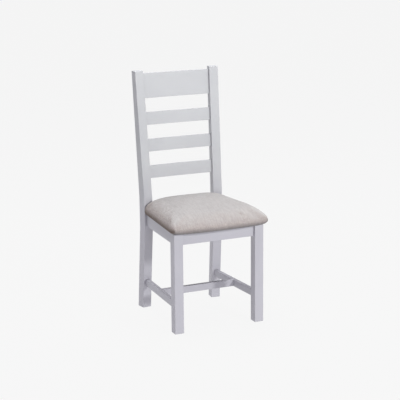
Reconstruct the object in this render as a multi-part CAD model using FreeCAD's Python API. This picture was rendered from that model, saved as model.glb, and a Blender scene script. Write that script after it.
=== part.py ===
import FreeCAD, Part
import math
import os
from collections import namedtuple
from FreeCAD import Placement, Rotation, Vector

# A ladderback dining chair with an upholstered seat, in millimetres.
# The left half is worked out and the right half mirrors it across X = 0.
# While it is built, Y = 0 is the front of the front legs and the floor is Z = 0.
# At the end every piece moves along Y, so that the origin is on the floor at the
# middle of the chair's whole box. +X is to the right seen from the front, +Y is back.

# Whole chair
chair_height = 1050.0
glide_height = 2.0

# Front legs
front_width = 410.0             # outside to outside
leg_section = 40.0
frame_top = 430.0               # top of the legs and of the seat frame's rails

# Back posts: a straight foot raked back, an upright stretch at the seat, and a raked back
back_width = 371.0              # outside to outside, at the front corners at the seat
frame_depth = 364.0             # front of the front legs to the front of the posts at the seat
post_width = 40.0
post_foot_depth = 43.5
post_seat_depth = 45.0
post_top_depth = 31.0
post_upright_from = 370.0
post_upright_to = 506.0
post_foot_kick = 33.5           # the foot's front edge stands this far behind the upright stretch
post_top_kick = 56.0            # and so does the top's
post_bend_radius = 150.0
post_toe = 7.0                  # degrees that each post's front turns inwards
post_splay = 0.25               # degrees that the posts lean apart as they rise
post_splay_from = 440.0         # height at which the splay leaves the width unchanged

# Back rails and slats
lowest_slat_from = 586.0
slat_height = 54.0
top_rail_height = 106.5
top_rail_drop = 12.5            # below the tops of the posts
slat_thickness = 18.0
slat_setback = 9.0              # behind the posts' front faces
slat_bow = 7.0                  # how far the middle of a slat lies behind its ends

# Seat frame
apron_height = 50.0
apron_thickness = 20.0
front_apron_setback = 10.0      # behind the legs' front faces
back_apron_setback = 1.0        # behind the posts' front faces

# Stretchers
stretcher_from = 104.0
stretcher_height = 30.0
stretcher_thickness = 18.0
cross_stretcher_setback = 175.0  # behind the back faces of the front legs

# Mortise and tenon joints
tenon_thickness = 8.0
apron_tenon_height = 34.0
apron_tenon = 14.0
post_apron_tenon = 20.0
back_apron_tenon = 13.0
stretcher_tenon_height = 18.0
stretcher_tenon = 20.0
cross_tenon = 12.0
slat_tenon = 20.0
slat_tenon_shoulder = 8.0       # shoulder above and below a slat's tenon
glue_gap = 0.1
mortise_end_gap = 1.0
tenon_root = 6.0                # how far a tenon starts inside its rail
shoulder_run_in = 7.0           # how far a rail's stock runs into its host before the shoulder is cut
saw_allowance = 10.0            # spare length on a post before its ends are sawn level

# Softened arrises
leg_edge_radius = 1.6
rail_edge_radius = 1.6

# Corner blocks
block_height = 30.0
block_drop = 1.0                # below the top of the rails
block_leg_gap = 1.0
block_edge_margin = 14.0        # from the seat screw to the block's diagonal face
block_run_in = 8.0              # how far a block's stock runs into the rails before it is cut to them

# Block screws, countersunk, two to a block
block_screw_length = 30.0
block_screw_shank = 4.0
block_screw_head = 8.0
block_screw_bite = 13.0         # how far the point goes into the rail
block_screw_from_end = 22.0     # from the screw to the end of the block along the rail
screw_bore_gap = 0.25
screw_point = 5.0
recess_reach = 0.62             # of the head's radius
recess_width = 1.0
recess_depth = 1.4

# Seat screws, pan head, one to a block
seat_screw_length = 40.0
seat_screw_shank = 4.5
seat_screw_head = 9.0
seat_screw_head_height = 3.0
seat_screw_from_side = 28.0     # from the side rail's inner face
seat_screw_from_front = 28.0    # from the front rail's inner face
seat_screw_from_board = 22.0    # from the board's back edge

# Upholstered seat: the widest line of the cushion, its underside roll and its crown
cushion_front_width = 447.0
cushion_back_width = 373.0
cushion_front_overhang = 6.5    # at the corners, in front of the legs
cushion_front_bow = 27.0        # how far the middle of the front edge stands forward of its ends
cushion_back_gap = 1.0
cushion_front_corner = 22.0
cushion_back_corner = 15.0
cushion_corner_growth = 0.45    # how much the corners round off for each mm drawn in
roll_height = 14.0
roll_tuck = 13.5                # how far the underside is drawn in at the front and sides
roll_tuck_back = 6.0
crown_height = 88.0             # from the frame's top to the middle of the cushion
crown_reach_side = 102.0        # how far in from the edge the crown keeps rising
crown_reach_front = 150.0
crown_reach_back = 92.0
crown_fullness = 1.7
roll_steps = (0.0, 0.2, 0.55, 1.0)
crown_steps = (0.16, 0.34, 0.52, 0.68, 0.81, 0.91, 0.97, 0.996)
cover_thickness = 1.2
board_thickness = 12.0

# Underside of the seat
hem_reach = 14.0                # how far the hem shows inside the rails
hem_back_width = 32.0
dust_cover_thickness = 0.5
dust_cover_gap = 3.0            # to the rails' inner faces
dust_cover_lap = 11.0           # over the hem at the back
dust_cover_corner_cut = 34.0
staple_crown = 10.0
staple_wire = 1.0
staple_flat = 0.6
staple_leg = 8.0
staple_pitch = 48.0
staple_from_edge = 5.0
staple_from_corner = 92.0

# Glides under the feet
glide_diameter = 24.0
glide_stem_diameter = 5.0
glide_stem_length = 14.0
glide_edge = 0.6

hair = 0.01                     # tells an edge that lies in a plane from one that rises
along_tolerance = 25.0          # degrees between an edge and the direction that it follows

Joint = namedtuple("Joint", "frame length thickness height")
up = Vector(0, 0, 1)


def box(x0, x1, y0, y1, z0, z1):
    return Part.makeBox(x1 - x0, y1 - y0, z1 - z0, Vector(x0, y0, z0))


def prism(points, height):
    outline = Part.makePolygon(points + [points[0]])
    return Part.Face(outline).extrude(Vector(0, 0, height))


def mirrored(shape):
    return shape.mirror(Vector(0, 0, 0), Vector(1, 0, 0))


def placed(shape, placement):
    moved = shape.copy()
    moved.Placement = placement.multiply(moved.Placement)
    return moved


def frame_at(origin, forward, upwards=up):
    side = upwards.cross(forward)
    return Placement(origin, Rotation(forward, side, upwards, "XZY"))


def edges_along(shape, direction):
    picked = []
    for edge in shape.Edges:
        middle = (edge.FirstParameter + edge.LastParameter) / 2
        turn = math.degrees(edge.tangentAt(middle).getAngle(direction))
        if min(turn, 180 - turn) < along_tolerance:
            picked.append(edge)
    return picked


def softened(shape, radius, direction):
    return shape.makeFillet(radius, edges_along(shape, direction))


# Mortise and tenon

def tenon(joint):
    blank = box(-tenon_root, joint.length,
                -joint.thickness / 2, joint.thickness / 2,
                -joint.height / 2, joint.height / 2)
    return placed(blank, joint.frame)


def mortise(joint):
    half_thickness = joint.thickness / 2 + glue_gap
    half_height = joint.height / 2 + glue_gap
    hole = box(-tenon_root, joint.length + mortise_end_gap,
               -half_thickness, half_thickness, -half_height, half_height)
    return placed(hole, joint.frame)


def joined_rail(stock, hosts, joints):
    # the stock is shouldered against its hosts, and the tenons grow out of its ends
    shouldered = stock.cut(hosts)
    return shouldered.fuse(joints).removeSplitter()


# Back posts

post_place = (
    Placement(Vector(-back_width / 2, frame_depth, 0), Rotation(up, post_toe))
    * Placement(Vector(0, 0, post_splay_from), Rotation(Vector(0, 1, 0), -post_splay))
    * Placement(Vector(0, 0, -post_splay_from), Rotation())
)


def post_front(z):
    # the front edge's distance behind the upright stretch
    if z < post_upright_from:
        return post_foot_kick * (post_upright_from - z) / post_upright_from
    if z > post_upright_to:
        return post_top_kick * (z - post_upright_to) / (chair_height - post_upright_to)
    return 0.0


def bend(before, corner, after, radius):
    # tangent points and middle of the arc that rounds a corner
    arriving = (before - corner).normalize()
    leaving = (after - corner).normalize()
    half_opening = arriving.getAngle(leaving) / 2
    tangent = radius / math.tan(half_opening)
    inwards = (arriving + leaving).normalize()
    middle = corner + inwards * (radius / math.sin(half_opening) - radius)
    return corner + arriving * tangent, middle, corner + leaving * tangent


def bent_edge(foot, lower, upper, top):
    low_in, low_middle, low_out = bend(foot, lower, upper, post_bend_radius)
    high_in, high_middle, high_out = bend(lower, upper, top, post_bend_radius)
    return [
        Part.LineSegment(foot, low_in),
        Part.Arc(low_in, low_middle, low_out),
        Part.LineSegment(low_out, high_in),
        Part.Arc(high_in, high_middle, high_out),
        Part.LineSegment(high_out, top),
    ]


def post_blank():
    foot_slope = post_foot_kick / post_upright_from
    top_slope = post_top_kick / (chair_height - post_upright_to)
    foot_taper = (post_seat_depth - post_foot_depth) / post_upright_from
    top_taper = (post_seat_depth - post_top_depth) / (chair_height - post_upright_to)

    def front(z, slope_out):
        return Vector(0, post_front(z) + slope_out, z)

    foot_front = front(0, foot_slope * saw_allowance) - Vector(0, 0, saw_allowance)
    top_front = front(chair_height, top_slope * saw_allowance) + Vector(0, 0, saw_allowance)
    foot_back = foot_front + Vector(0, post_foot_depth - foot_taper * saw_allowance, 0)
    top_back = top_front + Vector(0, post_top_depth - top_taper * saw_allowance, 0)
    front_low = front(post_upright_from, 0)
    front_high = front(post_upright_to, 0)
    depth = Vector(0, post_seat_depth, 0)
    outline = bent_edge(foot_front, front_low, front_high, top_front)
    outline.append(Part.LineSegment(top_front, top_back))
    outline += bent_edge(foot_back, front_low + depth, front_high + depth, top_back)
    outline.append(Part.LineSegment(foot_back, foot_front))
    edges = Part.sortEdges([curve.toShape() for curve in outline])[0]
    side = Part.Face(Part.Wire(edges))
    board = placed(side.extrude(Vector(post_width, 0, 0)), post_place)
    # the foot and the top are sawn level
    reach = chair_height
    room = box(-reach, reach, -reach, reach, glide_height, chair_height)
    trimmed = board.common(room)
    return trimmed.makeFillet(leg_edge_radius, trimmed.Edges)


# Front legs

def leg_blank():
    outer = -front_width / 2
    leg = box(outer, outer + leg_section, 0, leg_section, glide_height, frame_top)
    return leg.makeFillet(leg_edge_radius, leg.Edges)


# Rails between the two sides

def cross_rail_stock(half_length, y_front, thickness, z_from, height):
    stock = box(-half_length, half_length, y_front, y_front + thickness, z_from, z_from + height)
    return softened(stock, rail_edge_radius, Vector(1, 0, 0))


def front_apron_parts():
    inner = -front_width / 2 + leg_section
    stock = cross_rail_stock(-inner + shoulder_run_in, front_apron_setback, apron_thickness,
                             frame_top - apron_height, apron_height)
    end = Vector(inner, front_apron_setback + apron_thickness / 2, frame_top - apron_height / 2)
    joint = Joint(frame_at(end, Vector(-1, 0, 0)), apron_tenon, tenon_thickness, apron_tenon_height)
    return stock, joint


def back_apron_front():
    # the back apron's front face, behind the posts' inner front corners
    corner = post_place.multVec(Vector(post_width, 0, frame_top))
    return corner.y + back_apron_setback


def back_apron_parts():
    y_front = back_apron_front()
    y_middle = y_front + apron_thickness / 2
    z_middle = frame_top - apron_height / 2
    corner = post_place.multVec(Vector(post_width, 0, z_middle))
    inner = corner.x - (y_middle - corner.y) * math.tan(math.radians(post_toe))
    stock = cross_rail_stock(-inner + shoulder_run_in, y_front, apron_thickness,
                             frame_top - apron_height, apron_height)
    end = Vector(inner, y_middle, z_middle)
    joint = Joint(frame_at(end, Vector(-1, 0, 0)), back_apron_tenon,
                  tenon_thickness, apron_tenon_height)
    return stock, joint


# Rails along the sides, from a front leg to its post

def side_axis(z):
    front = Vector((leg_section - front_width) / 2, leg_section, z)
    back = post_place.multVec(Vector(post_width / 2, post_front(z), z))
    back.z = z
    return front, back


def side_rail_parts(z_from, height, thickness, front_tenon, back_tenon, tenon_height):
    front, back = side_axis(z_from + height / 2)
    along = (back - front).normalize()
    length = front.distanceToPoint(back) + 2 * shoulder_run_in
    stock = box(0, length, -thickness / 2, thickness / 2, -height / 2, height / 2)
    stock = softened(stock, rail_edge_radius, Vector(1, 0, 0))
    stock = placed(stock, frame_at(front - along * shoulder_run_in, along))
    front_joint = Joint(frame_at(front, -along), front_tenon, tenon_thickness, tenon_height)
    back_joint = Joint(frame_at(back, along), back_tenon, tenon_thickness, tenon_height)
    return stock, front_joint, back_joint


def cross_stretcher_parts():
    y_front = leg_section + cross_stretcher_setback
    y_middle = y_front + stretcher_thickness / 2
    z_middle = stretcher_from + stretcher_height / 2
    front, back = side_axis(z_middle)
    share = (y_middle - front.y) / (back.y - front.y)
    axis_x = front.x + (back.x - front.x) * share
    lean = math.atan2(back.x - front.x, back.y - front.y)
    inner = axis_x + stretcher_thickness / 2 / math.cos(lean)
    stock = cross_rail_stock(-inner + shoulder_run_in, y_front, stretcher_thickness,
                             stretcher_from, stretcher_height)
    joint = Joint(frame_at(Vector(inner, y_middle, z_middle), Vector(-1, 0, 0)),
                  cross_tenon, tenon_thickness, stretcher_tenon_height)
    return stock, joint


# Slats and the top rail

post_rake = math.atan2(post_top_kick, chair_height - post_upright_to)
slat_rake = math.atan(math.tan(post_rake) * math.cos(math.radians(post_toe)))


def slat_parts(z_from, height):
    z_middle = z_from + height / 2
    depth = post_front(z_middle) + (slat_setback + slat_thickness / 2) / math.cos(post_rake)
    end = post_place.multVec(Vector(post_width, depth, z_middle))
    half_chord = -end.x
    radius = (half_chord ** 2 + slat_bow ** 2) / (2 * slat_bow)
    sweep = math.asin((half_chord + shoulder_run_in) / radius)

    def on_arc(arc_radius, angle):
        return Vector(arc_radius * math.sin(angle), slat_bow - radius + arc_radius * math.cos(angle), 0)

    near = radius - slat_thickness / 2
    far = radius + slat_thickness / 2
    outline = Part.Wire([
        Part.Arc(on_arc(near, -sweep), on_arc(near, 0), on_arc(near, sweep)).toShape(),
        Part.LineSegment(on_arc(near, sweep), on_arc(far, sweep)).toShape(),
        Part.Arc(on_arc(far, sweep), on_arc(far, 0), on_arc(far, -sweep)).toShape(),
        Part.LineSegment(on_arc(far, -sweep), on_arc(near, -sweep)).toShape(),
    ])
    slope_height = height / math.cos(slat_rake)
    stock = Part.Face(outline).extrude(Vector(0, 0, slope_height))
    stock.translate(Vector(0, 0, -slope_height / 2))
    stock = softened(stock, rail_edge_radius, Vector(1, 0, 0))
    lean = Rotation(Vector(1, 0, 0), -math.degrees(slat_rake))
    stock = placed(stock, Placement(Vector(0, end.y, end.z), lean))

    outwards = post_place.Rotation.multVec(Vector(-1, 0, 0))
    upwards = post_place.Rotation.multVec(Vector(0, math.sin(post_rake), math.cos(post_rake)))
    joint = Joint(frame_at(end, outwards, upwards), slat_tenon, tenon_thickness,
                  height - 2 * slat_tenon_shoulder)
    return stock, joint


# Upholstered seat

def cushion_outline(tuck_side, tuck_front, tuck_back, bow, z):
    # a trapezium with a bowed front and rounded corners, drawn in from the widest line
    y_front = -cushion_front_overhang
    y_back = frame_depth - cushion_back_gap
    narrowing = (cushion_back_width - cushion_front_width) / 2 / (y_back - y_front)
    front_half = cushion_front_width / 2 - tuck_side + narrowing * tuck_front
    back_half = cushion_back_width / 2 - tuck_side - narrowing * tuck_back
    y_front += tuck_front
    y_back -= tuck_back
    mean_tuck = (tuck_side + tuck_front + tuck_back) / 3
    front_corner = cushion_front_corner + cushion_corner_growth * mean_tuck
    back_corner = cushion_back_corner + cushion_corner_growth * mean_tuck

    # right side line, from front to back, and the normal that points inwards
    start = Vector(front_half, y_front, z)
    finish = Vector(back_half, y_back, z)
    along = (finish - start).normalize()
    inwards = Vector(-along.y, along.x, 0)

    # the front corner's circle touches the side line and the front arc from inside
    front_radius = (front_half ** 2 + bow ** 2) / (2 * bow)
    front_centre = Vector(0, y_front - bow + front_radius, z)
    offset_start = start + inwards * front_corner
    from_centre = offset_start - front_centre
    half_b = from_centre.dot(along)
    c = from_centre.dot(from_centre) - (front_radius - front_corner) ** 2
    travel = -half_b - math.sqrt(half_b ** 2 - c)
    corner_centre = offset_start + along * travel
    on_side = corner_centre - inwards * front_corner
    outwards = (corner_centre - front_centre).normalize()
    on_front = front_centre + outwards * front_radius
    bisector = (outwards - inwards).normalize()
    front_corner_middle = corner_centre + bisector * front_corner

    # the back corner's circle touches the side line and the straight back edge
    slant = math.acos(along.y)
    back_offset = back_corner / math.tan((math.pi / 2 + slant) / 2)
    leaves_side = finish - along * back_offset
    joins_back = finish - Vector(back_offset, 0, 0)
    back_centre = joins_back - Vector(0, back_corner, 0)
    outer = (Vector(0, 1, 0) - inwards).normalize()
    back_corner_middle = back_centre + outer * back_corner

    def flip(point):
        return Vector(-point.x, point.y, point.z)

    front_middle = Vector(0, y_front - bow, z)
    pieces = [
        Part.Arc(flip(on_front), front_middle, on_front),
        Part.Arc(on_front, front_corner_middle, on_side),
        Part.LineSegment(on_side, leaves_side),
        Part.Arc(leaves_side, back_corner_middle, joins_back),
        Part.LineSegment(joins_back, flip(joins_back)),
        Part.Arc(flip(joins_back), flip(back_corner_middle), flip(leaves_side)),
        Part.LineSegment(flip(leaves_side), flip(on_side)),
        Part.Arc(flip(on_side), flip(front_corner_middle), flip(on_front)),
    ]
    return Part.Wire([piece.toShape() for piece in pieces])


def rim_outline(inset, z):
    # the bottom line of the cushion, drawn in by an inset
    return cushion_outline(roll_tuck + inset, roll_tuck + inset, roll_tuck_back + inset,
                           cushion_front_bow, z)


def cushion_form(inset):
    # the inset leaves room for what lies outside this form
    sections = []
    foot = frame_top + inset
    widest = frame_top + roll_height
    top = frame_top + crown_height - inset
    for step in roll_steps:
        drawn_in = 1 - math.sqrt(1 - (1 - step) ** 2)
        sections.append(cushion_outline(
            inset + roll_tuck * drawn_in,
            inset + roll_tuck * drawn_in,
            inset + roll_tuck_back * drawn_in,
            cushion_front_bow,
            foot + (widest - foot) * step))
    for step in crown_steps:
        drawn_in = 1 - (1 - step ** crown_fullness) ** (1 / crown_fullness)
        sections.append(cushion_outline(
            inset + crown_reach_side * drawn_in,
            inset + crown_reach_front * drawn_in,
            inset + crown_reach_back * drawn_in,
            cushion_front_bow * (1 - drawn_in),
            widest + (top - widest) * step))
    return Part.makeLoft(sections, True, False)


def seat_board():
    z_from = frame_top + cover_thickness
    outline = rim_outline(cover_thickness, z_from)
    return Part.Face(outline).extrude(Vector(0, 0, board_thickness))


def side_inner_line():
    # inner face of the left side apron: a point and the direction to the back
    front, back = side_axis(frame_top)
    along = (back - front).normalize()
    inwards = Vector(along.y, -along.x, 0)
    return front + inwards * (apron_thickness / 2), along


def side_inner_x(y):
    point, along = side_inner_line()
    return point.x + along.x * (y - point.y) / along.y


def rail_opening(inset, y_from, y_to):
    # plan of the space between the side aprons, drawn in from their inner faces
    left_front = Vector(side_inner_x(y_from) + inset, y_from, 0)
    left_back = Vector(side_inner_x(y_to) + inset, y_to, 0)
    return left_front, left_back


def front_apron_back():
    return front_apron_setback + apron_thickness


def rim_back():
    return frame_depth - cushion_back_gap - roll_tuck_back


def hem_opening():
    y_from = front_apron_back() + hem_reach
    y_to = rim_back() - hem_back_width
    left_front, left_back = rail_opening(hem_reach, y_from, y_to)
    corners = [left_front, Vector(-left_front.x, y_from, 0), Vector(-left_back.x, y_to, 0), left_back]
    opening = prism(corners, cover_thickness)
    opening.translate(Vector(0, 0, frame_top))
    return opening


def dust_cover_edges():
    # the four long edges of the dust cover, as pairs of corner points
    y_from = front_apron_back() + dust_cover_gap
    y_to = rim_back() - hem_back_width + dust_cover_lap
    left_front, left_back = rail_opening(dust_cover_gap, y_from, y_to)
    right_front = Vector(-left_front.x, y_from, 0)
    right_back = Vector(-left_back.x, y_to, 0)
    return [(left_front, right_front), (right_front, right_back),
            (right_back, left_back), (left_back, left_front)]


def seat_dust_cover():
    corners = []
    for start, finish in dust_cover_edges():
        along = (finish - start).normalize()
        corners.append(start + along * dust_cover_corner_cut)
        corners.append(finish - along * dust_cover_corner_cut)
    sheet = prism(corners, dust_cover_thickness)
    sheet.translate(Vector(0, 0, frame_top - dust_cover_thickness))
    return sheet


def staple(frame):
    crown = box(-staple_crown / 2, staple_crown / 2, -staple_wire / 2, staple_wire / 2, 0, staple_flat)
    legs = []
    for x in (-staple_crown / 2, staple_crown / 2 - staple_flat):
        legs.append(box(x, x + staple_flat, -staple_wire / 2, staple_wire / 2, 0, staple_leg))
    return placed(crown.fuse(legs).removeSplitter(), frame)


def cover_staples():
    staples = []
    z = frame_top - dust_cover_thickness - staple_flat
    for start, finish in dust_cover_edges():
        along = (finish - start).normalize()
        inwards = up.cross(along)
        run = start.distanceToPoint(finish) - 2 * staple_from_corner
        count = max(1, round(run / staple_pitch) + 1)
        for index in range(count):
            share = index / (count - 1) if count > 1 else 0.5
            point = start + along * (staple_from_corner + run * share) + inwards * staple_from_edge
            point.z = z
            staples.append(staple(frame_at(point, along)))
    return Part.makeCompound(staples)


# Corner blocks and screws

def board_back():
    return rim_back() - cover_thickness


def seat_screw_points():
    y_front = front_apron_back() + seat_screw_from_front
    y_back = board_back() - seat_screw_from_board
    return {
        "front": Vector(side_inner_x(y_front) + seat_screw_from_side, y_front, 0),
        "back": Vector(side_inner_x(y_back) + seat_screw_from_side, y_back, 0),
    }


def block_layout(end):
    # the rail face that the block meets, which way it grows, and its length along that rail
    face = front_apron_back() if end == "front" else back_apron_front()
    inwards = 1 if end == "front" else -1
    screw = seat_screw_points()[end]
    leg = abs(screw.y - face) + seat_screw_from_side + block_edge_margin * math.sqrt(2)
    return face, inwards, leg


def block_blank(end, hosts, post_room):
    face, inwards, leg = block_layout(end)
    along_rail = Vector(side_inner_x(face) + leg, face, 0)
    y_far = face + inwards * leg
    along_side = Vector(side_inner_x(y_far), y_far, 0)
    points = [
        along_rail,
        along_rail + Vector(0, -inwards * block_run_in, 0),
        Vector(side_inner_x(face) - block_run_in, face - inwards * block_run_in, 0),
        along_side + Vector(-block_run_in, 0, 0),
        along_side,
    ]
    block = prism(points, block_height)
    block.translate(Vector(0, 0, frame_top - block_drop - block_height))
    return block.cut(hosts + [post_room])


def leg_room():
    outer = -front_width / 2
    return box(outer, outer + leg_section + block_leg_gap, 0, leg_section + block_leg_gap, 0, frame_top)


def post_room():
    room = box(0, post_width + block_leg_gap, -block_leg_gap, post_seat_depth, 0, frame_top)
    return placed(room, post_place)


def block_screw_frames(end):
    # the head's flat top is the origin, and the screw runs along +X of its frame
    face, inwards, leg = block_layout(end)
    z = frame_top - block_drop - block_height / 2
    head_back = block_screw_length - block_screw_bite
    rail_x = side_inner_x(face) + leg - block_screw_from_end
    to_rail = frame_at(Vector(rail_x, face + inwards * head_back, z), Vector(0, -inwards, 0))

    y = face + inwards * (leg - block_screw_from_end)
    point, along = side_inner_line()
    inner_normal = Vector(along.y, -along.x, 0)
    on_face = Vector(side_inner_x(y), y, z)
    to_side = frame_at(on_face + inner_normal * head_back, -inner_normal)
    return [to_rail, to_side]


def cross_recess(head):
    half = head / 2 * recess_reach
    slot = box(0, recess_depth, -half, half, -recess_width / 2, recess_width / 2)
    cross = box(0, recess_depth, -recess_width / 2, recess_width / 2, -half, half)
    return slot.fuse(cross)


def block_screw(frame):
    forward = Vector(1, 0, 0)
    origin = Vector(0, 0, 0)
    sink = (block_screw_head - block_screw_shank) / 2
    straight = block_screw_length - sink - screw_point
    head = Part.makeCone(block_screw_head / 2, block_screw_shank / 2, sink, origin, forward)
    shank = Part.makeCylinder(block_screw_shank / 2, straight, Vector(sink, 0, 0), forward)
    point = Part.makeCone(block_screw_shank / 2, 0, screw_point, Vector(sink + straight, 0, 0), forward)
    screw = head.fuse([shank, point]).removeSplitter().cut(cross_recess(block_screw_head))
    return placed(screw, frame)


def block_screw_bore(frame):
    # through the block: a counterbore to the diagonal face, the countersink and the shank hole
    forward = Vector(1, 0, 0)
    sink = (block_screw_head - block_screw_shank) / 2
    reach = block_height
    head_radius = block_screw_head / 2 + screw_bore_gap
    counterbore = Part.makeCylinder(head_radius, reach, Vector(-reach, 0, 0), forward)
    countersink = Part.makeCone(block_screw_head / 2, block_screw_shank / 2, sink,
                                Vector(0, 0, 0), forward)
    hole = Part.makeCylinder(block_screw_shank / 2, block_screw_length, Vector(0, 0, 0), forward)
    return placed(counterbore.fuse([countersink, hole]), frame)


def seat_screw(point):
    z_block = frame_top - block_drop - block_height
    base = Vector(point.x, point.y, z_block - seat_screw_head_height)
    straight = seat_screw_length - screw_point
    head = Part.makeCylinder(seat_screw_head / 2, seat_screw_head_height, base)
    lower_edge = [edge for edge in head.Edges if edge.BoundBox.ZMax < base.z + hair]
    head = head.makeFillet(seat_screw_head_height / 2, lower_edge)
    shank = Part.makeCylinder(seat_screw_shank / 2, straight, Vector(point.x, point.y, z_block))
    tip = Part.makeCone(seat_screw_shank / 2, 0, screw_point,
                        Vector(point.x, point.y, z_block + straight))
    recess = placed(cross_recess(seat_screw_head), frame_at(base, up, Vector(1, 0, 0)))
    return head.fuse([shank, tip]).removeSplitter().cut(recess)


def seat_screw_bore(point, z_from, z_to):
    radius = seat_screw_shank / 2 + screw_bore_gap
    return Part.makeCylinder(radius, z_to - z_from, Vector(point.x, point.y, z_from))


# Glides

def glide(x, y):
    disc = Part.makeCylinder(glide_diameter / 2, glide_height, Vector(x, y, 0))
    floor_edge = [edge for edge in disc.Edges if edge.BoundBox.ZMax < hair]
    disc = disc.makeChamfer(glide_edge, floor_edge)
    stem = Part.makeCylinder(glide_stem_diameter / 2, glide_stem_length, Vector(x, y, glide_height))
    return disc.fuse(stem)


def foot_points():
    leg_middle = (leg_section - front_width) / 2
    foot_middle = post_foot_kick + post_foot_depth / 2
    post_middle = post_place.multVec(Vector(post_width / 2, foot_middle, glide_height))
    return {
        "front": Vector(leg_middle, leg_section / 2, 0),
        "back": Vector(post_middle.x, post_middle.y, 0),
    }


def on_both_sides(shapes, name, left):
    shapes[name + "_left"] = left
    shapes[name + "_right"] = mirrored(left)


def build():
    shapes = {}
    leg = leg_blank()
    post = post_blank()

    # seat frame
    front_stock, front_joint = front_apron_parts()
    back_stock, back_joint = back_apron_parts()
    side_stock, side_front_joint, side_back_joint = side_rail_parts(
        frame_top - apron_height, apron_height, apron_thickness,
        apron_tenon, post_apron_tenon, apron_tenon_height)
    front_apron = joined_rail(front_stock, [leg, mirrored(leg)],
                              [tenon(front_joint), mirrored(tenon(front_joint))])
    back_apron = joined_rail(back_stock, [post, mirrored(post)],
                             [tenon(back_joint), mirrored(tenon(back_joint))])
    side_apron = joined_rail(side_stock, [leg, post],
                             [tenon(side_front_joint), tenon(side_back_joint)])

    # stretchers
    stretcher_stock, low_front_joint, low_back_joint = side_rail_parts(
        stretcher_from, stretcher_height, stretcher_thickness,
        stretcher_tenon, stretcher_tenon, stretcher_tenon_height)
    cross_stock, cross_joint = cross_stretcher_parts()
    side_stretcher = joined_rail(stretcher_stock, [leg, post],
                                 [tenon(low_front_joint), tenon(low_back_joint)])
    cross_stretcher = joined_rail(cross_stock, [stretcher_stock, mirrored(stretcher_stock)],
                                  [tenon(cross_joint), mirrored(tenon(cross_joint))])
    side_stretcher = side_stretcher.cut(mortise(cross_joint))

    # ladder: the slats share out the height between the lowest one and the top rail
    top_rail_from = chair_height - top_rail_drop - top_rail_height
    slat_names = ("slat_lower", "slat_middle", "slat_upper")
    slat_pitch = (top_rail_from - lowest_slat_from) / len(slat_names)
    slat_places = {"top_rail": (top_rail_from, top_rail_height)}
    for index, name in enumerate(slat_names):
        slat_places[name] = (lowest_slat_from + index * slat_pitch, slat_height)
    slat_joints = []
    for name, (slat_from, height) in slat_places.items():
        stock, joint = slat_parts(slat_from, height)
        shapes[name] = joined_rail(stock, [post, mirrored(post)], [tenon(joint), mirrored(tenon(joint))])
        slat_joints.append(joint)

    # corner blocks and their screws
    blocks = {
        "front": block_blank("front", [front_stock, side_stock], leg_room()),
        "back": block_blank("back", [back_stock, side_stock], post_room()),
    }
    block_screws = []
    seat_screws = []
    z_block = frame_top - block_drop - block_height
    for end, block in blocks.items():
        frames = block_screw_frames(end)
        block_screws += [block_screw(frame) for frame in frames]
        point = seat_screw_points()[end]
        seat_screws.append(seat_screw(point))
        bores = [block_screw_bore(frame) for frame in frames]
        bores.append(seat_screw_bore(point, z_block, frame_top))
        on_both_sides(shapes, "corner_block_" + end, block.cut(bores))
    block_screws = Part.makeCompound(block_screws + [mirrored(screw) for screw in block_screws])
    seat_screws = Part.makeCompound(seat_screws + [mirrored(screw) for screw in seat_screws])
    shapes["corner_block_screws"] = block_screws
    shapes["seat_screws"] = seat_screws
    shapes["front_apron"] = front_apron.cut(block_screws)
    shapes["back_apron"] = back_apron.cut(block_screws)
    on_both_sides(shapes, "side_apron", side_apron.cut(block_screws))
    on_both_sides(shapes, "side_stretcher", side_stretcher)
    shapes["cross_stretcher"] = cross_stretcher

    # legs and posts, with their mortises and the glides' stems
    feet = foot_points()
    front_glide = glide(feet["front"].x, feet["front"].y)
    back_glide = glide(feet["back"].x, feet["back"].y)
    leg_joints = [front_joint, side_front_joint, low_front_joint]
    post_joints = [back_joint, side_back_joint, low_back_joint] + slat_joints
    on_both_sides(shapes, "front_leg", leg.cut([mortise(joint) for joint in leg_joints] + [front_glide]))
    on_both_sides(shapes, "back_post", post.cut([mortise(joint) for joint in post_joints] + [back_glide]))
    on_both_sides(shapes, "glide_front", front_glide)
    on_both_sides(shapes, "glide_back", back_glide)

    # seat
    staples = cover_staples()
    board = seat_board()
    inside = cushion_form(cover_thickness)
    cover = cushion_form(0.0).cut([inside, hem_opening()])
    screw_room = []
    for point in seat_screw_points().values():
        bore = seat_screw_bore(point, z_block, frame_top + cover_thickness)
        screw_room += [bore, mirrored(bore)]
    shapes["seat_board"] = board.cut([seat_screws, staples])
    shapes["seat_foam"] = inside.cut(board)
    shapes["seat_cover"] = cover.cut(screw_room + [staples])
    shapes["seat_dust_cover"] = seat_dust_cover().cut(screw_room + [staples])
    shapes["cover_staples"] = staples
    return shapes


def middle_of_depth(shapes):
    # half way between the front of the cushion and the rearmost of the posts and the top rail
    front = -cushion_front_overhang - cushion_front_bow
    back = max(shapes[name].BoundBox.YMax for name in ("top_rail", "back_post_left"))
    return (front + back) / 2


os.makedirs("parts", exist_ok=True)
chair = build()
to_origin = Vector(0, -middle_of_depth(chair), 0)
for name, shape in chair.items():
    shape.translate(to_origin)
    shape.exportStep("parts/" + name + ".step")
    print(name, len(shape.Solids), "solid(s)", round(shape.Volume / 1000, 2), "cm3", shape.isValid())
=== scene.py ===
import math

import bmesh
import bpy
from mathutils import Matrix, Vector, noise


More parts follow.
